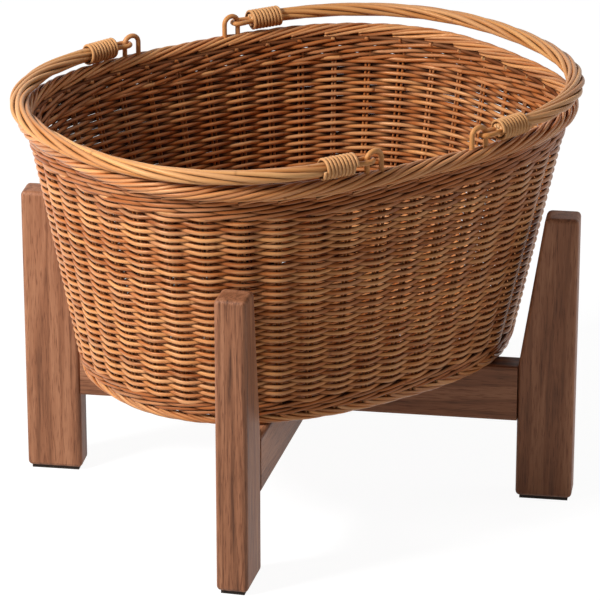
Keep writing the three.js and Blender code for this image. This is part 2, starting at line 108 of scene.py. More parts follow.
# %% Wire and Finish
class Wire:
    """One output socket of a material."""

    def __init__(self, finish, socket):
        self.finish = finish
        self.socket = socket

    def maths(self, operation, first, second):
        values = {0: first, 1: second}
        return self.finish.node("ShaderNodeMath", {"operation": operation}, values)

    def __add__(self, other):
        return self.maths("ADD", self, other)

    def __radd__(self, other):
        return self.maths("ADD", other, self)

    def __sub__(self, other):
        return self.maths("SUBTRACT", self, other)

    def __rsub__(self, other):
        return self.maths("SUBTRACT", other, self)

    def __mul__(self, other):
        return self.maths("MULTIPLY", self, other)

    def __rmul__(self, other):
        return self.maths("MULTIPLY", other, self)


class Finish:
    """A new material and the one method that adds its nodes."""

    def __init__(self, name):
        self.material = bpy.data.materials.new(name)
        self.material.use_nodes = True
        self.tree = self.material.node_tree
        self.tree.nodes.clear()

    def node(self, kind, settings=None, values=None, out=0):
        node = self.tree.nodes.new(kind)
        for name, value in (settings or {}).items():
            if name == "stops":
                self.stops(node.color_ramp, value)
            else:
                setattr(node, name, value)
        for name, value in (values or {}).items():
            if isinstance(value, Wire):
                self.tree.links.new(value.socket, node.inputs[name])
            else:
                node.inputs[name].default_value = value
        return Wire(self, node.outputs[out])

    def stops(self, ramp, stops):
        ramp.elements.remove(ramp.elements[1])
        ramp.elements[0].position, ramp.elements[0].color = stops[0]
        for place, colour in stops[1:]:
            ramp.elements.new(place).color = colour

    def surface(self, values):
        shader = self.node("ShaderNodeBsdfPrincipled", {}, values)
        self.node_output(shader)
        return self.material

    def node_output(self, shader):
        output = self.tree.nodes.new("ShaderNodeOutputMaterial")
        self.tree.links.new(shader.socket, output.inputs["Surface"])


def by_eye(red, green, blue):
    """A colour as the eye reads it, 0 to 255, turned into a shader's light values."""
    shares = [value / 255 for value in (red, green, blue)]
    light = [v / 12.92 if v <= 0.04045 else ((v + 0.055) / 1.055) ** 2.4 for v in shares]
    return (*light, 1.0)


print("helpers ready; mid cane colour:", [round(v, 3) for v in by_eye(196, 135, 80)])


# %% [markdown]
# ## Room and floor
#
# The world is white where the camera or a reflection sees it and dimmer as a light, so the
# background is white without washing out the cane. The floor does the same and keeps a faint
# shadow.

# %% World
def seen_directly(tree):
    """1 for a ray from the camera, or off gloss, or through glass."""
    path = tree.nodes.new("ShaderNodeLightPath")
    seen = path.outputs["Is Camera Ray"]
    for other in ("Is Transmission Ray", "Is Glossy Ray"):
        either = tree.nodes.new("ShaderNodeMath")
        either.operation = "MAXIMUM"
        tree.links.new(seen, either.inputs[0])
        tree.links.new(path.outputs[other], either.inputs[1])
        seen = either.outputs[0]
    return seen


def make_world(room_light):
    world = bpy.data.worlds.new("pale_room")
    bpy.context.scene.world = world
    world.use_nodes = True
    tree = world.node_tree
    tree.nodes.clear()
    room = tree.nodes.new("ShaderNodeBackground")
    room.inputs["Color"].default_value = (1.0, 1.0, 1.0, 1.0)
    room.inputs["Strength"].default_value = room_light
    white = tree.nodes.new("ShaderNodeBackground")
    white.inputs["Color"].default_value = (1.0, 1.0, 1.0, 1.0)
    white.inputs["Strength"].default_value = 1.0
    mix = tree.nodes.new("ShaderNodeMixShader")
    tree.links.new(seen_directly(tree), mix.inputs["Fac"])
    tree.links.new(room.outputs[0], mix.inputs[1])
    tree.links.new(white.outputs[0], mix.inputs[2])
    output = tree.nodes.new("ShaderNodeOutputWorld")
    tree.links.new(mix.outputs[0], output.inputs["Surface"])


make_world(0.11)
print("world:", bpy.context.scene.world.name)


# %% Floor
def floor_finish():
    """Pale paint. A camera ray also gets some even white, so only the shadow stays darker."""
    finish = Finish("pale_floor")
    mottle = finish.node("ShaderNodeTexNoise", {}, {"Scale": 3.0, "Detail": 2.0})
    ends = [(0.3, (0.68, 0.68, 0.68, 1.0)), (0.7, (0.70, 0.70, 0.70, 1.0))]
    paint = finish.node("ShaderNodeValToRGB", {"stops": ends}, {"Fac": mottle})
    matt = finish.node("ShaderNodeBsdfDiffuse", {}, {"Color": paint})
    thin = finish.node("ShaderNodeBsdfDiffuse", {}, {"Color": (0.16, 0.16, 0.16, 1.0)})
    glow = finish.node("ShaderNodeEmission", {}, {"Strength": 0.94})
    lifted = finish.node("ShaderNodeAddShader", {}, {0: thin, 1: glow})
    seen = Wire(finish, seen_directly(finish.tree))
    finish.node_output(finish.node("ShaderNodeMixShader", {}, {0: seen, 1: matt, 2: lifted}))
    return finish.material


def lay_floor():
    bpy.ops.object.select_all(action="DESELECT")
    bpy.ops.mesh.primitive_plane_add(size=12.0, location=(0.0, 0.0, 0.0))
    floor = bpy.context.object
    floor.name = "floor"
    floor.data.materials.append(floor_finish())
    return floor


floor = lay_floor()
print("floor size:", [round(v, 1) for v in floor.dimensions])


# %% [markdown]
# ## Cane
#
# The cane is peeled willow under a honey-coloured varnish. Each cane has its own tone, fine
# lines along its length, a joint here and there, and a paler cut end. These follow the cane
# round every bend, so they read the cane's own UV map, which runs once round it and in metres
# along it. Going round, the noise is read on a circle, so no seam shows.

# %% Cane finish
def cane_finish(name, dark, middle_tone, light, gloss, highlight_share):
    """highlight_share is how far a painted highlight pales a cane where it stands out most."""
    finish = Finish(name)
    uv = finish.node("ShaderNodeUVMap", {"uv_map": "cane"})
    around = finish.node("ShaderNodeSeparateXYZ", {}, {0: uv}, out=0)
    along = finish.node("ShaderNodeSeparateXYZ", {}, {0: uv}, out=1)
    turn = around * (2 * math.pi)
    sideways = finish.node("ShaderNodeMath", {"operation": "COSINE"}, {0: turn})
    upwards = finish.node("ShaderNodeMath", {"operation": "SINE"}, {0: turn})

    def lines(width, length, scale, detail):
        """Noise drawn out along the cane."""
        corner = {0: sideways * width, 1: upwards * width, 2: along * length}
        place = finish.node("ShaderNodeCombineXYZ", {}, corner)
        return finish.node(
            "ShaderNodeTexNoise", {}, {"Vector": place, "Scale": scale, "Detail": detail}
        )

    tone = finish.node("ShaderNodeAttribute", {"attribute_name": "tone"}, out=2)
    cut = finish.node("ShaderNodeAttribute", {"attribute_name": "cut"}, out=2)
    recess = finish.node("ShaderNodeAttribute", {"attribute_name": "recess"}, out=2)
    patches = lines(0.5, 9.0, 1.0, 3.0)
    fibres = lines(2.2, 30.0, 1.6, 4.0)
    shade = tone * 0.62 + patches * 0.46 + fibres * 0.30 - 0.20
    places = [(0.02, dark), (0.45, middle_tone), (0.95, light)]
    skin_colour = finish.node("ShaderNodeValToRGB", {"stops": places}, {"Fac": shade})

    joint = finish.node(
        "ShaderNodeMath", {"operation": "PINGPONG"}, {0: along + tone * 3.0, 1: 0.17}
    )
    near_joint = finish.node(
        "ShaderNodeMapRange", {}, {"Value": joint, 1: 0.0, 2: 0.0022, 3: 0.55, 4: 0.0}
    )
    jointed = finish.node(
        "ShaderNodeMix",
        {"data_type": "RGBA", "blend_type": "MULTIPLY"},
        {0: near_joint, 6: skin_colour, 7: by_eye(150, 110, 80)},
        out=2,
    )
    greyer = lines(0.3, 5.0, 1.0, 1.0)
    grey_share = finish.node(
        "ShaderNodeMapRange", {}, {"Value": greyer, 1: 0.44, 2: 0.68, 3: 0.0, 4: 0.45}
    )
    tinted = finish.node(
        "ShaderNodeMix",
        {"data_type": "RGBA"},
        {0: grey_share, 6: jointed, 7: by_eye(202, 150, 108)},
        out=2,
    )
    # Painted shade: the sides of a cane that face into the weave or touch their neighbours are
    # darkened.
    painted_shade = finish.node("ShaderNodeMath", {"operation": "MAXIMUM"}, {0: recess, 1: 0.0})
    with_painted_shade = finish.node(
        "ShaderNodeMix",
        {"data_type": "RGBA", "blend_type": "MULTIPLY"},
        {0: painted_shade, 6: tinted, 7: by_eye(64, 32, 18)},
        out=2,
    )
    # Painted highlight: the side of a cane that stands out most is paled.
    highlight_amount = finish.node("ShaderNodeMapRange", {}, {"Value": recess, 1: -0.35, 2: -1.0, 4: highlight_share})
    with_painted_highlight = finish.node(
        "ShaderNodeMix",
        {"data_type": "RGBA"},
        {0: highlight_amount, 6: with_painted_shade, 7: by_eye(234, 184, 132)},
        out=2,
    )
    colour = finish.node(
        "ShaderNodeMix",
        {"data_type": "RGBA"},
        {0: cut, 6: with_painted_highlight, 7: by_eye(226, 188, 140)},
        out=2,
    )
    roughness = gloss + fibres * 0.22 + cut * 0.3 + painted_shade * 0.5
    relief = finish.node(
        "ShaderNodeBump", {}, {"Strength": 0.35, "Distance": 0.0004, "Height": fibres}
    )
    return finish.surface(
        {
            "Base Color": colour,
            "Roughness": roughness,
            "Normal": relief,
            "Specular IOR Level": 0.3,
            "Specular Tint": by_eye(255, 212, 172),
        }
    )


wall_cane = cane_finish(
    "varnished_cane", by_eye(116, 52, 20), by_eye(184, 108, 56), by_eye(228, 165, 104), 0.2, 0.34
)
handle_cane = cane_finish(
    "varnished_handle_cane",
    by_eye(134, 72, 30),
    by_eye(194, 126, 68),
    by_eye(228, 172, 110),
    0.26,
    0.3,
)
binding_cane = cane_finish(
    "pale_binding_cane",
    by_eye(150, 96, 52),
    by_eye(192, 134, 82),
    by_eye(222, 170, 114),
    0.34,
    0.25,
)
print("cane finishes:", [m.name for m in (wall_cane, handle_cane, binding_cane)])


# %% [markdown]
# ## Making canes
#
# A weave has hundreds of round canes, each on its own curve, which no primitive gives. Canes
# sweeps a circle along each curve, closes its ends, and makes one mesh of all that belong to
# one piece. Lengths are in millimetres, as in the CAD source, until the mesh is made.

# %% The surface of one cane
MM = 0.001
luck = np.random.default_rng(11)


def unit(rows):
    return rows / np.linalg.norm(rows, axis=-1, keepdims=True)


def neighbours(path, closed):
    """The point after each point of a path, and the point before it."""
    if closed:
        return np.roll(path, -1, 0), np.roll(path, 1, 0)
    ahead = np.vstack([path[1:], 2 * path[-1:] - path[-2:-1]])
    behind = np.vstack([2 * path[:1] - path[1:2], path[:-1]])
    return ahead, behind


def directions_round(travel, beside, turn):
    """The directions round a cane at each of its points, and the one a quarter turn past
    beside."""
    beside = np.broadcast_to(np.asarray(beside, float), travel.shape)
    first = unit(beside - travel * (beside * travel).sum(1, keepdims=True))
    second = np.cross(travel, first)
    circle = first[:, None] * np.cos(turn)[:, None] + second[:, None] * np.sin(turn)[:, None]
    return circle, second


def wrapped_uv(along, spans, sides):
    """The four UV corners of every face: once round the cane, and metres along it."""
    low, high = along[spans], along[spans + 1]
    u = np.arange(sides) / sides
    u_next = u + 1 / sides
    uv = np.empty((len(spans), sides, 4, 2))
    uv[:, :, 0, 0], uv[:, :, 1, 0], uv[:, :, 2, 0], uv[:, :, 3, 0] = u, u_next, u_next, u
    uv[:, :, 0, 1] = uv[:, :, 1, 1] = low[:, None]
    uv[:, :, 2, 1] = uv[:, :, 3, 1] = high[:, None]
    return uv.reshape(-1, 2)


print("a step of (3, 4) has the direction", unit(np.array([3.0, 4.0])))


# %% Canes
class Canes:
    """Round canes that become one mesh."""

    def __init__(self, name, sides):
        self.name = name
        self.sides = sides
        self.points, self.tones, self.cuts, self.painted_lights = [], [], [], []
        self.quads, self.quad_uvs, self.tris, self.tri_uvs = [], [], [], []
        self.count = 0

    def add(
        self,
        path,
        radius,
        beside,
        tone=0.5,
        closed=False,
        shade_towards=None,
        reach=0.0,
        grip=0.0,
        flat=1.0,
    ):
        """One cane. beside is a direction that is never along the path. shade_towards, if given,
        is a direction at each point: painted shade darkens the side that faces it, by that
        direction's length, and reach widens the painted shade; the side that faces away from it
        can get a painted highlight. grip paints shade on the two sides along beside, where canes
        touch. flat is the cane's thickness across beside, as a share."""
        path = np.asarray(path, float)
        number = len(path)
        ahead, behind = neighbours(path, closed)
        turn = 2 * math.pi * np.arange(self.sides) / self.sides
        circle, second = directions_round(unit(ahead - behind), beside, turn)
        size = np.broadcast_to(np.asarray(radius, float), number)[:, None, None]
        squeezed = circle + second[:, None] * ((flat - 1) * np.sin(turn))[:, None]
        rings = path[:, None] + size * squeezed

        start = self.count
        self.points.append(rings.reshape(-1, 3))
        self.tones.append(np.broadcast_to(tone, number).repeat(self.sides))
        self.cuts.append(np.zeros(number * self.sides))
        shade_and_highlight = np.zeros((number, self.sides))
        if shade_towards is not None:
            shade_and_highlight = np.clip((circle * shade_towards[:, None]).sum(-1) * 1.3 + reach, -1, 1)
            shade_and_highlight = np.clip(shade_and_highlight + grip * np.abs(np.cos(turn)) ** 2.5, -1, 1)
        self.painted_lights.append(shade_and_highlight.ravel())
        self.count += number * self.sides

        step = np.linalg.norm(ahead - path, axis=1)
        along = np.concatenate([[0.0], np.cumsum(step)]) * MM + luck.uniform(0, 40)
        spans = np.arange(number if closed else number - 1)
        here = spans[:, None] * self.sides + np.arange(self.sides)
        there = ((spans + 1) % number)[:, None] * self.sides + np.arange(self.sides)
        here_next, there_next = np.roll(here, -1, 1), np.roll(there, -1, 1)
        self.quads.append(
            start + np.stack([here, here_next, there_next, there], -1).reshape(-1, 4)
        )
        self.quad_uvs.append(wrapped_uv(along, spans, self.sides))
        if not closed:
            self.cap(start, path[0], tone, along[0], False)
            self.cap(start + (number - 1) * self.sides, path[-1], tone, along[-1], True)

    def cap(self, ring, centre, tone, along, forwards):
        """A flat cut end on the ring of points that starts at a number."""
        here = ring + np.arange(self.sides)
        after = np.roll(here, -1)
        first, second = (here, after) if forwards else (after, here)
        middle_point = np.full(self.sides, self.count)
        self.points.append(np.asarray(centre, float)[None])
        self.tones.append(np.array([tone]))
        self.cuts.append(np.array([1.0]))
        self.painted_lights.append(np.array([0.0]))
        self.count += 1
        self.tris.append(np.stack([middle_point, first, second], -1))
        uv = np.full((self.sides * 3, 2), along)
        uv[:, 0] = 0.5
        self.tri_uvs.append(uv)

    def make(self, material, body, slot, *nodes):
        quads = np.concatenate(self.quads)
        tris = np.concatenate(self.tris) if self.tris else np.zeros((0, 3), int)
        points = np.concatenate(self.points) * MM
        mesh = bpy.data.meshes.new(self.name)
        mesh.from_pydata(points.tolist(), [], quads.tolist() + tris.tolist())
        uv = np.concatenate(self.quad_uvs + self.tri_uvs)
        mesh.uv_layers.new(name="cane").data.foreach_set("uv", uv.ravel())
        marks = (("tone", self.tones), ("cut", self.cuts), ("recess", self.painted_lights))
        for name, values in marks:
            layer = mesh.attributes.new(name, "FLOAT", "POINT")
            layer.data.foreach_set("value", np.concatenate(values))
        smooth = np.concatenate([np.ones(len(quads), bool), np.zeros(len(tris), bool)])
        mesh.polygons.foreach_set("use_smooth", smooth)
        mesh.materials.append(material)
        mesh.update()
        piece = bpy.data.objects.new(self.name, mesh)
        bpy.context.scene.collection.objects.link(piece)
        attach(piece, body)
        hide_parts(*nodes)
        print(self.name, "triangles:", 2 * len(quads) + len(tris))
        return piece


print("a set of canes can:", [name for name in vars(Canes) if not name.startswith("_")])


# %% [markdown]
# ## The basket's wall as a shape
#
# Every row of the basket is an oval between an ellipse and a box, longer, wider and squarer
# towards the rim. A place on the wall is named by its stake, its height and how far it stands
# out. Stakes are the upright canes, and they stand at equal steps round each oval.

# %% Wall shape
FOOT_Z, RIM_Z = 142.3, 397.8
FOOT_HALF_LENGTH, FOOT_HALF_WIDTH, FOOT_SQUARENESS = 218, 162, 2.32
RIM_LONGER, RIM_WIDER, RIM_SQUARER = 39.7, 49, 0.35  # than at the foot
STAKES = 43
FINE = 1720  # points round a measured oval


def oval(half_length, half_width, squareness, count=FINE):
    """Points at equal steps round an oval, anticlockwise from +X."""
    angle = np.linspace(0, 2 * math.pi, 5761)
    power = 2 / squareness
    x = half_length * np.sign(np.cos(angle)) * np.abs(np.cos(angle)) ** power
    y = half_width * np.sign(np.sin(angle)) * np.abs(np.sin(angle)) ** power
    along = np.concatenate([[0.0], np.cumsum(np.hypot(np.diff(x), np.diff(y)))])
    target = np.linspace(0, along[-1], count, endpoint=False)
    return np.stack([np.interp(target, along, x), np.interp(target, along, y)], 1)


def outward(points):
    """The outward direction at each point of a closed anticlockwise line."""
    run = np.roll(points, -1, 0) - np.roll(points, 1, 0)
    return unit(np.stack([run[:, 1], -run[:, 0]], 1))


def oval_at(share):
    """The wall's middle line at a share of the way from foot to rim."""
    return oval(
        FOOT_HALF_LENGTH + RIM_LONGER * share,
        FOOT_HALF_WIDTH + RIM_WIDER * share,
        FOOT_SQUARENESS + RIM_SQUARER * share,
    )


LEVELS = np.linspace(FOOT_Z, RIM_Z, 13)
ovals = np.array([oval_at(share) for share in (LEVELS - FOOT_Z) / (RIM_Z - FOOT_Z)])
outwards = np.array([outward(points) for points in ovals])
# How far the wall leans out for each millimetre of height.
leans = ((ovals[-1] - ovals[0]) * outwards).sum(-1) / (RIM_Z - FOOT_Z)


def on_wall(stake, z, out, level_only=False):
    """Points on the wall, and the direction that each looks out, square to the leaning wall
    or level. stake, z and out may be arrays."""
    stake, z, out = np.broadcast_arrays(
        np.asarray(stake, float), np.asarray(z, float), np.asarray(out, float)
    )
    place = (stake / STAKES % 1.0) * FINE
    low = np.floor(place).astype(int) % FINE
    part = (place - np.floor(place))[..., None]
    level = np.clip((z - FOOT_Z) / (RIM_Z - FOOT_Z), 0, 1) * (len(LEVELS) - 1)
    under = np.minimum(level.astype(int), len(LEVELS) - 2)
    mix = (level - under)[..., None]

    def blend(table):
        below = table[under, low] * (1 - part) + table[under, (low + 1) % FINE] * part
        above = table[under + 1, low] * (1 - part) + table[under + 1, (low + 1) % FINE] * part
        return below * (1 - mix) + above * mix

    away = unit(blend(outwards))
    lean = 0 * part if level_only else blend(leans[..., None])
    away = unit(np.concatenate([away, -lean], -1))
    on_middle = np.concatenate([blend(ovals), z[..., None]], -1)
    return on_middle + away * out[..., None], away


UP = (0.0, 0.0, 1.0)
spacing = np.linalg.norm(np.diff(ovals[-1], axis=0), axis=1).sum() / STAKES
print("stake spacing at the rim in mm:", round(spacing, 1))


# %% [markdown]
# ## Stakes
#
# Two thin canes stand at each stake and run from the base up into the rim. They only show
# between the rows, as dark upright pairs.

# %% Stakes
STAKE_RADIUS = 1.45
STAKE_APART = 2.1  # each cane of a pair, from the pair's middle
STAKE_BOTTOM, STAKE_TOP = 150.0, 393.0


def make_stakes():
    canes = Canes("stakes", 8)
    heights = np.linspace(STAKE_BOTTOM, STAKE_TOP, 14)
    for stake in range(STAKES):
        for side in (-1, 1):
            middle_line, away = on_wall(stake, heights, 0.0)
            along = np.cross(UP, away)
            sway = np.cumsum(luck.normal(0, 0.12, len(heights)))[:, None]
            path = middle_line + along * (side * STAKE_APART + sway)
            thick = STAKE_RADIUS * luck.uniform(0.92, 1.06)
            # Painted shade: the stakes take the darker tones, for the shade they stand in
            # between the rows.
            canes.add(path, thick, away, luck.uniform(0.0, 0.4))
    return canes.make(wall_cane, "basket", "woven_cane", "side_weave")


make_stakes()


# %% [markdown]
# ## The woven side
#
# One cane at a time goes in front of one stake and behind the next. The number of stakes is
# odd, so the same cane winds up the basket as a spiral and each row falls opposite the last.
# A cane climbs a little while it is in front, which gives the slanting look of this weave. The
# spiral is cut into real cane lengths, each with its own tone and thickness.

# %% Woven side
SIDE_BOTTOM, SIDE_TOP = 166.4, 369.2
ROW_PITCH = 3.7
WEAVER_RADIUS = 2.24
WEAVER_BEND = 0.75  # near 1 it runs straight between stakes and bends sharply at them
WEAVER_FLAT = 0.84  # canes lie pressed on each other, so they are a little taller than deep
WEAVER_SWING = 3.1  # from the wall's middle
WEAVER_CLIMB = 0.12
WEAVER_SINK = 0.5  # lower in front than behind
SHORTEST_PIECE = 12  # stakes


def weaver_path(stake, pitch):
    wave = math.pi * stake
    swing = np.arcsin(WEAVER_BEND * np.cos(wave)) / math.asin(WEAVER_BEND)
    z = SIDE_BOTTOM + pitch * (0.5 + stake / STAKES)
    z = z + WEAVER_CLIMB * np.sin(wave) - WEAVER_SINK * swing
    return WEAVER_SWING * swing, z


def make_side(name, begin, last, pitch):
    canes = Canes(name, 8)
    steps = 8
    while begin < last:
        # A cane ends at an odd stake, where it is inside the basket.
        end = min(begin + 2 * int(luck.integers(14, 30)) + 1 - begin % 2, last)
        if last - end < SHORTEST_PIECE:
            end = last
        stake = np.arange(begin * steps - 2, end * steps + 3) / steps
        out, z = weaver_path(stake, pitch)
        whole_stakes = np.arange(begin - 1, end + 2)
        drift = np.interp(stake, whole_stakes, luck.normal(0, 0.1, len(whole_stakes)))
        path, away = on_wall(stake, z + drift, out)
        taper = np.linspace(1.04, 0.95, len(stake)) * luck.uniform(0.97, 1.04)
        # Painted shade on the side of a cane that turns into the weave, deepest where it passes
        # behind a stake, and a painted highlight on the side that stands out; grip paints shade
        # where rows touch.
        behind = away * (-out / WEAVER_SWING)[:, None]
        tone = luck.beta(1.7, 1.7)
        thick = WEAVER_RADIUS * taper
        canes.add(path, thick, UP, tone, shade_towards=behind, grip=1.0, flat=WEAVER_FLAT)
        begin = end
    return canes.make(wall_cane, "basket", "woven_cane", "side_weave")


side_rows = round((SIDE_TOP - SIDE_BOTTOM) / ROW_PITCH)
row_pitch = (SIDE_TOP - SIDE_BOTTOM) / side_rows
print("rows:", side_rows, "pitch in mm:", round(row_pitch, 2))
# The spiral runs on for over half a round below and above. That closes the wedges that it
# would leave at the twined rows.
RUN_ON = 26
low, high = 19 * STAKES, 38 * STAKES
make_side("woven_side_low", -RUN_ON, low, row_pitch)
make_side("woven_side_middle", low, high, row_pitch)
make_side("woven_side_high", high, side_rows * STAKES + RUN_ON, row_pitch)


# %% [markdown]
# ## Walings
#
# Below the rim and above the foot, three canes at a time are twined round the stakes. Each
# goes in front of two and behind one, so a waling looks like a flat rope.

# %% Walings
WALING_WAVES = 14  # of one cane in a round, so each takes in about three stakes
WALING_SWING = 3.0


def make_waling(name, bottom, top, rows, radius, node):
    canes = Canes(name, 8)
    pitch = (top - bottom) / rows
    stake = np.arange(STAKES * 8) / 8
    climb = pitch * 0.34
    for row in range(rows):
        for strand in range(3):
            wave = 2 * math.pi * (stake * WALING_WAVES / STAKES + strand / 3 + row / 6)
            swing = np.tanh(1.8 * (np.cos(wave) + 0.25))
            out = WALING_SWING * swing
            z = bottom + pitch * (row + 0.5) + climb * np.sin(wave)
            whole_stakes = np.arange(STAKES + 1)
            wander = np.interp(stake, whole_stakes, luck.normal(0, 0.2, len(whole_stakes)))
            path, away = on_wall(stake, z + wander * np.sin(np.pi * stake / STAKES), out)
            # The waling canes take darker tones: partly painted shade under the rim, partly the
            # canes' own darker colour.
            tone = luck.beta(1.8, 2.6) * 0.4
            thick = radius * luck.uniform(0.95, 1.05)
            # Painted shade on the side of a cane that turns into the weave and where canes
            # touch, and a painted highlight on the side that stands out.
            behind = away * (0.25 - 0.75 * swing)[:, None]
            canes.add(path, thick, UP, tone, closed=True, shade_towards=behind, reach=0.3, grip=1.0)
    return canes.make(wall_cane, "basket", "woven_cane", node)


make_waling("twined_rows_under_rim", 369.3, 391.2, 3, 2.32, "upper_waling")
make_waling("twined_rows_at_foot", 153.8, 166.5, 2, 2.0, "lower_waling")


# %% [markdown]
# ## Rolled borders
#
# At the rim the stakes are bent over and laid along the border, a pair at a time. Each pair
# comes out below the border on the outside, climbs over the top and ends inside, three or four
# stakes further on. So any cut through the border shows several pairs, and the whole reads as
# a rope. The foot border is rolled the same way from thinner canes.

# %% Borders
BORDER_POINTS = 40  # along each cane
BORDER_SPREAD = 2.02  # radii of a cane between the two of a pair
FARTHEST_OUT = 0.05  # how far a cane may stand out by chance, clear of the handles' bindings


def make_border(name, z, inset, ring, cane, knots, node, packing=()):
    """knots are pairs: stakes travelled, and the angle round the border, 0 out and 90 up.
    packing places plain canes that fill the corner between border and wall."""
    canes = Canes(name, 9)
    travelled, angles = zip(*knots)
    between = math.degrees(cane * BORDER_SPREAD / ring)
    for stake in range(STAKES):
        for second in (0, 1):
            local = np.linspace(travelled[0], travelled[-1], BORDER_POINTS)
            angle = np.interp(local, travelled, angles)
            smooth = np.convolve(np.pad(angle, 3, mode="edge"), np.ones(7) / 7, "valid")
            angle = np.radians(smooth - second * between + luck.normal(0, 2.0))
            # For its first half stake a cane comes in from farther out.
            settle = np.clip((local - travelled[0]) / 0.5, 0, 1)
            by_chance = min(luck.normal(0, 0.12), FARTHEST_OUT)
            reach = ring * (1 + 0.75 * (1 - settle) ** 2) + by_chance
            out = inset + reach * np.cos(angle)
            height = z + reach * np.sin(angle)
            level, away = on_wall(stake + local, z, out, level_only=True)
            path = np.column_stack([level[:, :2], height])
            beside = away * np.cos(angle)[:, None] + np.array(UP) * np.sin(angle)[:, None]
            taper = np.linspace(1.06, 0.9, BORDER_POINTS) * luck.uniform(0.94, 1.05)
            tone = luck.beta(2.0, 1.8)
            # Painted shade on the side of each cane that faces the border's core, and a painted
            # highlight on its outer side.
            canes.add(path, cane * taper, beside, tone, shade_towards=-beside, reach=0.45)
    core_stake = np.arange(STAKES * 4) / 4
    for out, height in packing:
        filler, away = on_wall(core_stake, height, out)
        # Painted shade darkens the packing canes all round, most on their outer side.
        canes.add(filler, 2.1, UP, 0.0, closed=True, shade_towards=away * 0.3, reach=0.9)
    core, away = on_wall(core_stake, z, inset, level_only=True)
    canes.add(core, ring * 0.72, UP, 0.2, closed=True)
    return canes.make(wall_cane, "basket", "woven_cane", node)


rim_knots = [(0.0, -120), (0.35, -64), (2.2, 66), (2.6, 120), (3.3, 172), (4.3, 226)]
under_rim = ((-1.4, 391.8), (1.6, 392.6))
make_border("rolled_rim", RIM_Z, 4.0, 6.1, 2.1, rim_knots, "rim_border", packing=under_rim)
foot_knots = [(0.0, 100), (0.5, 40), (2.2, -80), (3.2, -175)]
make_border("rolled_foot", 148.3, -2.0, 4.1, 1.75, foot_knots, "foot_border")


# %% [markdown]
# ## The base
#
# The base is woven flat on sticks that run out from a long middle. It starts as one flat oval
# and ends inside the lowest twined rows, where one more cane closes the corner. Nothing of it
# shows in the photograph, so its pattern is a common one.

# %% Woven base
BASE_Z = 157.4
BASE_STICKS = 41
BASE_SWING = 1.6
BASE_PITCH = 3.0
WALL_LONGER, WALL_WIDER = 2.3, 2.9  # at the base's height than at the foot
BASE_INSIDE = 5.4  # from the wall's middle line
BASE_MIDDLE = 9.0  # half the width of the long middle


def make_base():
    canes = Canes("woven_base", 6)
    outer_length = FOOT_HALF_LENGTH + WALL_LONGER - BASE_INSIDE
    outer_width = FOOT_HALF_WIDTH + WALL_WIDER - BASE_INSIDE
    depth = outer_width - BASE_MIDDLE
    inner = oval(outer_length - depth, outer_width - depth, 2.2, BASE_STICKS * 8)
    outer = oval(outer_length, outer_width, 2.33, BASE_STICKS * 8)
    rings = int(depth / BASE_PITCH)
    for ring in range(rings):
        share = (ring + 0.5) / rings
        line = inner * (1 - share) + outer * share
        place = np.arange(len(line))
        wave = math.pi * (place / 8 + ring)
        # The count of sticks is odd, so a closed ring meets its start on the other side of the
        # sticks, and its last step crosses over. After its start it runs flatter.
        z = BASE_Z + BASE_SWING * np.cos(wave) * np.clip(np.abs(place - 4) / 4, 0, 1)
        path = np.column_stack([line, z])
        canes.add(path, 2.0, UP, luck.beta(2, 2), closed=True)
    for stick in range(BASE_STICKS):
        ends = np.array([inner[stick * 8], outer[stick * 8]])
        run = np.linspace(ends[0] * 0.6, ends[1], 6)
        path = np.column_stack([run, np.full(6, BASE_Z)])
        canes.add(path, 1.9, UP, luck.uniform(0.2, 0.6))
    corner, away = on_wall(np.arange(STAKES * 4) / 4, BASE_Z + 2.6, -5.0)
    canes.add(corner, 2.0, UP, 0.3, closed=True)
    for lane in (-6.0, -2.0, 2.0, 6.0):
        run = np.linspace(-66.0, 66.0, 8)
        path = np.column_stack([run, np.full(8, lane), np.full(8, BASE_Z + 0.5)])
        canes.add(path, 2.0, UP, luck.uniform(0.3, 0.7))
    return canes.make(wall_cane, "basket", "woven_cane", "base_weave")


make_base()


# %% [markdown]
# ## Handle rings
#
# A thick cane is hooped through the border at each end of both handles. It is the handle's
# hinge.

# %% Handle ends as the CAD has them
RING_X, RING_HALF, RING_RADIUS = 60.0, 8.0, 2.5
BORDER_TOP = RIM_Z + 8.0
RING_ABOVE_BORDER, RING_OUTSIDE_RADIUS = 22.0, 10.5
RING_ARC_Z = BORDER_TOP + RING_ABOVE_BORDER - RING_OUTSIDE_RADIUS
SEAT_GAP, EYE_RADIUS = 0.3, 2.5
AXIS_X = RING_X + RING_HALF - RING_RADIUS - SEAT_GAP - EYE_RADIUS
AXIS_Z = BORDER_TOP + 11.6
BORDER_HALF_LENGTH, BORDER_HALF_WIDTH, RIM_SQUARENESS = 261.7, 215.0, 2.67
ring_share = (RING_X / BORDER_HALF_LENGTH) ** RIM_SQUARENESS
HANDLE_Y = BORDER_HALF_WIDTH * (1 - ring_share) ** (1 / RIM_SQUARENESS)
TIP_X = 272.5
TIP_Z = {-1: BORDER_TOP + 7.5, 1: BORDER_TOP + 15.0}  # left and right
EYE_STRAIGHT, TURN_IN = 12.0, math.radians(7)
SIDES = (("left", -1), ("right", 1))
ENDS = (("back", 1), ("front", -1))


def on_end(side, end, distance, sideways=0.0, upwards=0.0):
    """A place near one end of a handle, by its distance from the ring."""
    before = np.minimum(distance, EYE_STRAIGHT)
    after = distance - before
    turn = np.where(after > 0, TURN_IN, 0.0)
    x = AXIS_X + before + after * np.cos(turn) + sideways * np.sin(turn)
    y = HANDLE_Y - after * np.sin(turn) + sideways * np.cos(turn)
    z = AXIS_Z + (TIP_Z[side] - AXIS_Z) * (x - AXIS_X) / (TIP_X - AXIS_X) + upwards
    return np.stack(np.broadcast_arrays(side * x, end * y, z), -1)


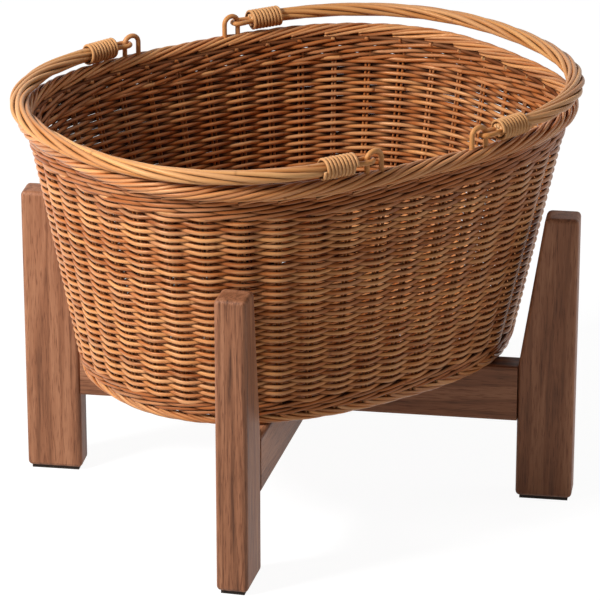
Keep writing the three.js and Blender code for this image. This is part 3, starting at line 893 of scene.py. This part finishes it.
print("swing axis at", round(AXIS_X, 2), round(AXIS_Z, 2), "ring row at", round(HANDLE_Y, 2))


# %% Rings
def make_ring(side_name, side, end_name, end):
    canes = Canes(f"hoop_{end_name}_{side_name}", 14)
    turn = np.linspace(math.pi, 0, 25)
    x = RING_HALF * np.cos(turn)
    z = RING_ARC_Z + RING_HALF * np.sin(turn)
    leg = np.linspace(BORDER_TOP - 10.0, RING_ARC_Z, 6)[:-1]  # down into its socket
    x = np.concatenate([np.full(len(leg), -RING_HALF), x, np.full(len(leg), RING_HALF)])
    z = np.concatenate([leg, z, leg[::-1]])
    lean = 0.25 * np.sin(np.linspace(0, 9, len(x)))
    path = np.column_stack([side * RING_X + x, end * HANDLE_Y + lean, z])
    canes.add(path, RING_RADIUS, (0.0, 1.0, 0.0), 0.62)
    node = f"handle_ring_{end_name}_{side_name}"
    return canes.make(handle_cane, "basket", "handle_cane", node)


for side_name, side in SIDES:
    for end_name, end in ENDS:
        make_ring(side_name, side, end_name, end)


# %% [markdown]
# ## Handles
#
# Seven canes are laid round an eighth and turned like a rope, twice round from end to end. Each
# end is bound with a paler cane over the two arms of the eye, the loop of cane that hangs in
# the ring.

# %% Handle canes
EYE_LENGTH, BIND_TURNS, BIND_PITCH, BIND_CANE = 18.5, 9, 3.7, 3.2
BUNDLE_START = EYE_LENGTH + 1.5
BUNDLE_HELD = EYE_LENGTH + BIND_TURNS * BIND_PITCH + BIND_CANE + 1.5
BOW_START_PULL, BOW_TIP_PULL = 16.0, 180.0
HANDLE_CANES, HANDLE_CANE_RADIUS, ROPE_TURNS = 7, 2.6, 2.0
HELD_RADIUS = 6.9  # of the bundle under its binding
BOW_HIGH, BOW_WIDE = 6.8, 9.6  # half of the bundle where it is free


def half_bow(side, end):
    """The bundle's middle line from one end to the middle of the handle."""
    start = on_end(side, end, BUNDLE_HELD)
    pull = on_end(side, end, BUNDLE_HELD + BOW_START_PULL)
    tip = np.array([side * TIP_X, 0.0, TIP_Z[side]])
    tip_pull = np.array([side * TIP_X, end * BOW_TIP_PULL, TIP_Z[side]])
    t = np.linspace(0, 1, 400)[:, None]
    bow = (
        (1 - t) ** 3 * start
        + 3 * (1 - t) ** 2 * t * pull
        + 3 * (1 - t) * t**2 * tip_pull
        + t**3 * tip
    )
    held = on_end(side, end, np.linspace(BUNDLE_START, BUNDLE_HELD, 20)[:-1])
    return np.vstack([held, bow])


def equal_steps(path, step):
    along = np.concatenate([[0], np.cumsum(np.linalg.norm(np.diff(path, axis=0), axis=1))])
    target = np.linspace(0, along[-1], int(along[-1] / step) + 1)
    return np.stack([np.interp(target, along, path[:, i]) for i in range(3)], 1), target


def make_handle(side_name, side):
    canes = Canes(f"handle_{side_name}_rope", 12)
    path = np.vstack([half_bow(side, 1), half_bow(side, -1)[::-1][1:]])
    path, along = equal_steps(path, 4.0)
    travel = unit(np.gradient(path, axis=0))
    first = unit(np.array(UP) - travel * travel[:, 2:])
    second = np.cross(travel, first)
    from_end = np.minimum(along, along[-1] - along)
    grip = BUNDLE_HELD - BUNDLE_START
    t = np.clip((from_end - grip) / 40.0, 0, 1)
    spread = t * t * (3 - 2 * t)
    high = HELD_RADIUS + (BOW_HIGH - HELD_RADIUS) * spread - HANDLE_CANE_RADIUS
    wide = HELD_RADIUS + (BOW_WIDE - HELD_RADIUS) * spread - HANDLE_CANE_RADIUS
    turn = 2 * math.pi * ROPE_TURNS * along / along[-1]
    for cane in range(HANDLE_CANES):
        angle = 2 * math.pi * cane / HANDLE_CANES + turn
        # Canes lie at equal steps round the flat oval, so they crowd at neither end of it.
        angle = angle - 0.22 * spread * np.sin(2 * angle)
        wander = 0.25 * np.sin(along / 37.0 + cane * 1.9)
        centre = (
            path
            + first * ((high + wander) * np.cos(angle))[:, None]
            + second * ((wide + wander) * np.sin(angle))[:, None]
        )
        radius = HANDLE_CANE_RADIUS * (1 + 0.03 * np.sin(along / 61.0 + cane))
        beside = first * np.cos(angle)[:, None] + second * np.sin(angle)[:, None]
        tone = luck.uniform(0.25, 0.9)
        # Painted shade on the side of each cane that faces into the bundle, and a painted
        # highlight on its outer side.
        canes.add(centre, radius, beside, tone, shade_towards=-beside, reach=0.5)
    canes.add(path, HANDLE_CANE_RADIUS, first, 0.1)
    body = f"handle_{side_name}"
    return canes.make(handle_cane, body, "handle_cane", f"{body}_canes")


for side_name, side in SIDES:
    make_handle(side_name, side)


# %% Eyes and bindings
EYE_HALF, EYE_ROOT_HALF = 5.8, 4.4
EYE_ARM_INSIDE = 16.0  # how far the eye's arms reach into the bundle
BIND_RADIUS = 8.8  # to the middle of the binding's cane
BIND_CANE_RADIUS = 1.78  # thick enough for its turns to touch


def make_eye(side_name, side, end_name, end):
    canes = Canes(f"loop_{side_name}_{end_name}", 14)
    turn = np.linspace(-math.pi / 2, -1.5 * math.pi, 21)[1:-1]
    arm = np.linspace(EYE_LENGTH + EYE_ARM_INSIDE, EYE_HALF, 15)
    spread = np.interp(arm, [9.5, EYE_LENGTH], [EYE_HALF, EYE_ROOT_HALF])
    near = on_end(side, end, arm, -spread)
    bend = on_end(side, end, EYE_HALF + EYE_HALF * np.cos(turn), EYE_HALF * np.sin(turn))
    far = on_end(side, end, arm[::-1], spread[::-1])
    path = np.vstack([near, bend, far])
    canes.add(path, EYE_RADIUS, UP, 0.55)
    node = f"handle_{side_name}_eye_{end_name}"
    return canes.make(handle_cane, f"handle_{side_name}", "handle_cane", node)


def make_binding(side_name, side, end_name, end):
    canes = Canes(f"wound_{side_name}_{end_name}", 10)
    steps = 28
    turn = 2 * math.pi * np.arange(BIND_TURNS * steps + 1) / steps
    at = EYE_LENGTH + BIND_CANE / 2 + BIND_PITCH * turn / (2 * math.pi)
    path = on_end(side, end, at, BIND_RADIUS * np.cos(turn), BIND_RADIUS * np.sin(turn))
    centre = on_end(side, end, at)
    beside = unit(path - centre)
    # Painted shade on the side of the binding cane that faces the bundle, and a painted
    # highlight on its outer side.
    canes.add(path, BIND_CANE_RADIUS, beside, 0.6, shade_towards=-beside, reach=0.3)
    node = f"handle_{side_name}_binding_{end_name}"
    return canes.make(binding_cane, f"handle_{side_name}", "binding_cane", node)


for side_name, side in SIDES:
    for end_name, end in ENDS:
        make_eye(side_name, side, end_name, end)
        make_binding(side_name, side, end_name, end)


# %% [markdown]
# ## Walnut
#
# The stand is oiled walnut: brown with a red cast, darker growth lines drawn out along the
# board, and fine short pores. Grain is noise that is squeezed along the board, so it is read
# on the object's own coordinates, which a Mapping node turns to run with each board.

# %% Wood finishes
def wood_finish(name, turned, stretch, dark, middle_tone, light):
    """turned is in degrees about Z. stretch is small along the grain."""
    finish = Finish(name)
    place = finish.node("ShaderNodeTexCoord", {}, out=3)
    turned_place = finish.node(
        "ShaderNodeMapping", {}, {"Vector": place, "Rotation": (0, 0, math.radians(turned))}
    )
    squeezed = finish.node(
        "ShaderNodeVectorMath", {"operation": "MULTIPLY"}, {0: turned_place, 1: stretch}
    )
    broad = finish.node(
        "ShaderNodeTexNoise",
        {},
        {"Vector": squeezed, "Scale": 45.0, "Detail": 3.0, "Distortion": 0.6},
    )
    rings = finish.node("ShaderNodeMath", {"operation": "SINE"}, {0: broad * 34.0})
    fine = finish.node(
        "ShaderNodeTexNoise", {}, {"Vector": squeezed, "Scale": 420.0, "Detail": 4.0}
    )
    pores = finish.node(
        "ShaderNodeTexNoise", {}, {"Vector": squeezed, "Scale": 1250.0, "Detail": 2.0}
    )
    pits = finish.node("ShaderNodeMapRange", {}, {"Value": pores, 1: 0.34, 2: 0.46})
    shade = broad * 0.9 + rings * 0.10 + fine * 0.5 - 0.28
    places = [(0.12, dark), (0.42, middle_tone), (0.80, light)]
    bare = finish.node("ShaderNodeValToRGB", {"stops": places}, {"Fac": shade})
    colour = finish.node(
        "ShaderNodeMix",
        {"data_type": "RGBA", "blend_type": "MULTIPLY"},
        {0: 0.6 - pits * 0.6, 6: bare, 7: by_eye(140, 106, 88)},
        out=2,
    )
    height = pits * 0.6 + fine * 0.4
    relief = finish.node(
        "ShaderNodeBump", {}, {"Strength": 0.25, "Distance": 0.0003, "Height": height}
    )
    return finish.surface(
        {
            "Base Color": colour,
            "Roughness": 0.42 + fine * 0.16,
            "Normal": relief,
            "Specular IOR Level": 0.25,
        }
    )


WALNUT = (by_eye(86, 52, 34), by_eye(148, 97, 68), by_eye(180, 127, 94))
BEECH = (by_eye(176, 136, 92), by_eye(204, 166, 120), by_eye(222, 190, 148))
upright = (1.0, 1.0, 0.05)
lengthways = (0.05, 1.0, 1.0)
upright_walnut = wood_finish("walnut_upright", 0, upright, *WALNUT)
cross_walnut = {
    "beam_left_right": wood_finish("walnut_left_right", 42.75, lengthways, *WALNUT),
    "beam_front_back": wood_finish("walnut_front_back", -42.75, lengthways, *WALNUT),
}
beech = wood_finish("beech", 0, lengthways, *BEECH)


def felt_finish():
    finish = Finish("dark_felt")
    place = finish.node("ShaderNodeTexCoord", {}, out=3)
    fuzz = finish.node(
        "ShaderNodeTexNoise", {}, {"Vector": place, "Scale": 900.0, "Detail": 4.0}
    )
    places = [(0.3, by_eye(34, 26, 22)), (0.7, by_eye(62, 50, 42))]
    colour = finish.node("ShaderNodeValToRGB", {"stops": places}, {"Fac": fuzz})
    relief = finish.node("ShaderNodeBump", {}, {"Strength": 0.6, "Height": fuzz})
    return finish.surface({"Base Color": colour, "Roughness": 0.95, "Normal": relief})


felt = felt_finish()


def give(node, material):
    """A better material on a CAD node, whose mesh stays as it is."""
    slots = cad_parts[node].material_slots
    for material_slot in slots:
        material_slot.material = material
    return len(slots)


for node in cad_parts:
    if node.startswith("dowel_"):
        give(node, beech)
    elif node.startswith("foot_pad_"):
        give(node, felt)
    elif node.startswith("beam_"):
        give(node, cross_walnut[node])
print("materials in all:", len(bpy.data.materials))


# %% [markdown]
# ## Legs
#
# Each leg is one board: wide up to the top of the beams, with its inner edge sloped away from
# the basket above them. A box is drawn up by one more step, its inner top edge is pushed out,
# and all its edges are rounded like sanded wood.

# %% Legs
LEG_REACH, LEG_WIDTH, LEG_TOP_WIDTH, LEG_THICKNESS = 277.81, 56.33, 33.0, 31.0
LEG_BOTTOM, LEG_STEP, LEG_TOP = 3.3, 142.0, 300.0
LEG_ROUNDING = 4.6
LEG_TURNS = {"front": 222.75, "left": 137.25, "right": -42.75, "back": 42.75}


def pick(piece, test):
    """In edit mode, selects the corners that pass a test of their place in millimetres."""
    edit = bmesh.from_edit_mesh(piece.data)
    for corner in edit.verts:
        corner.select_set(bool(test(corner.co / MM)))
    edit.select_flush_mode()
    bmesh.update_edit_mesh(piece.data)


def make_leg(corner, degrees):
    bpy.ops.object.select_all(action="DESELECT")
    bpy.ops.mesh.primitive_cube_add(size=1.0)
    leg = bpy.context.object
    leg.name = f"leg_board_{corner}"
    bpy.ops.object.mode_set(mode="EDIT")
    bpy.ops.mesh.select_all(action="SELECT")
    size = (LEG_WIDTH * MM, LEG_THICKNESS * MM, (LEG_STEP - LEG_BOTTOM) * MM)
    bpy.ops.transform.resize(value=size)
    middle_of_board = (LEG_REACH - LEG_WIDTH / 2, 0.0, (LEG_STEP + LEG_BOTTOM) / 2)
    bpy.ops.transform.translate(value=Vector(middle_of_board) * MM)
    pick(leg, lambda at: at.z > LEG_STEP - 1)
    bpy.ops.mesh.extrude_region_move(
        TRANSFORM_OT_translate={"value": (0.0, 0.0, (LEG_TOP - LEG_STEP) * MM)}
    )
    pick(leg, lambda at: at.z > LEG_TOP - 1 and at.x < LEG_REACH - 1)
    bpy.ops.transform.translate(value=((LEG_WIDTH - LEG_TOP_WIDTH) * MM, 0.0, 0.0))
    bpy.ops.mesh.select_all(action="SELECT")
    bpy.ops.transform.rotate(
        value=-math.radians(degrees), orient_axis="Z", center_override=(0.0, 0.0, 0.0)
    )
    bpy.ops.object.mode_set(mode="OBJECT")
    bpy.ops.object.modifier_add(type="BEVEL")
    rounding = leg.modifiers["Bevel"]
    rounding.width = LEG_ROUNDING * MM
    rounding.segments = 5
    rounding.limit_method = "ANGLE"
    rounding.angle_limit = math.radians(30)
    bpy.ops.object.modifier_apply(modifier="Bevel")
    bpy.ops.object.shade_smooth_by_angle(angle=math.radians(40))
    bpy.ops.object.modifier_add(type="WEIGHTED_NORMAL")
    bpy.ops.object.modifier_apply(modifier=leg.modifiers[0].name)
    leg.data.materials.append(upright_walnut)
    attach(leg, "stand")
    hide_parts(f"leg_{corner}")
    return leg


for corner, degrees in LEG_TURNS.items():
    leg = make_leg(corner, degrees)
    solid_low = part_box(f"leg_{corner}")[0]
    board_low = [min(vertex.co[i] for vertex in leg.data.vertices) for i in range(3)]
    off = [round(abs(board_low[i] - solid_low[i]) / MM, 2) for i in range(3)]
    print(leg.name, "differs from its solid's low corner in mm by", off)


# %% [markdown]
# ## Sizes
#
# The dressed basket must keep the CAD model's size.
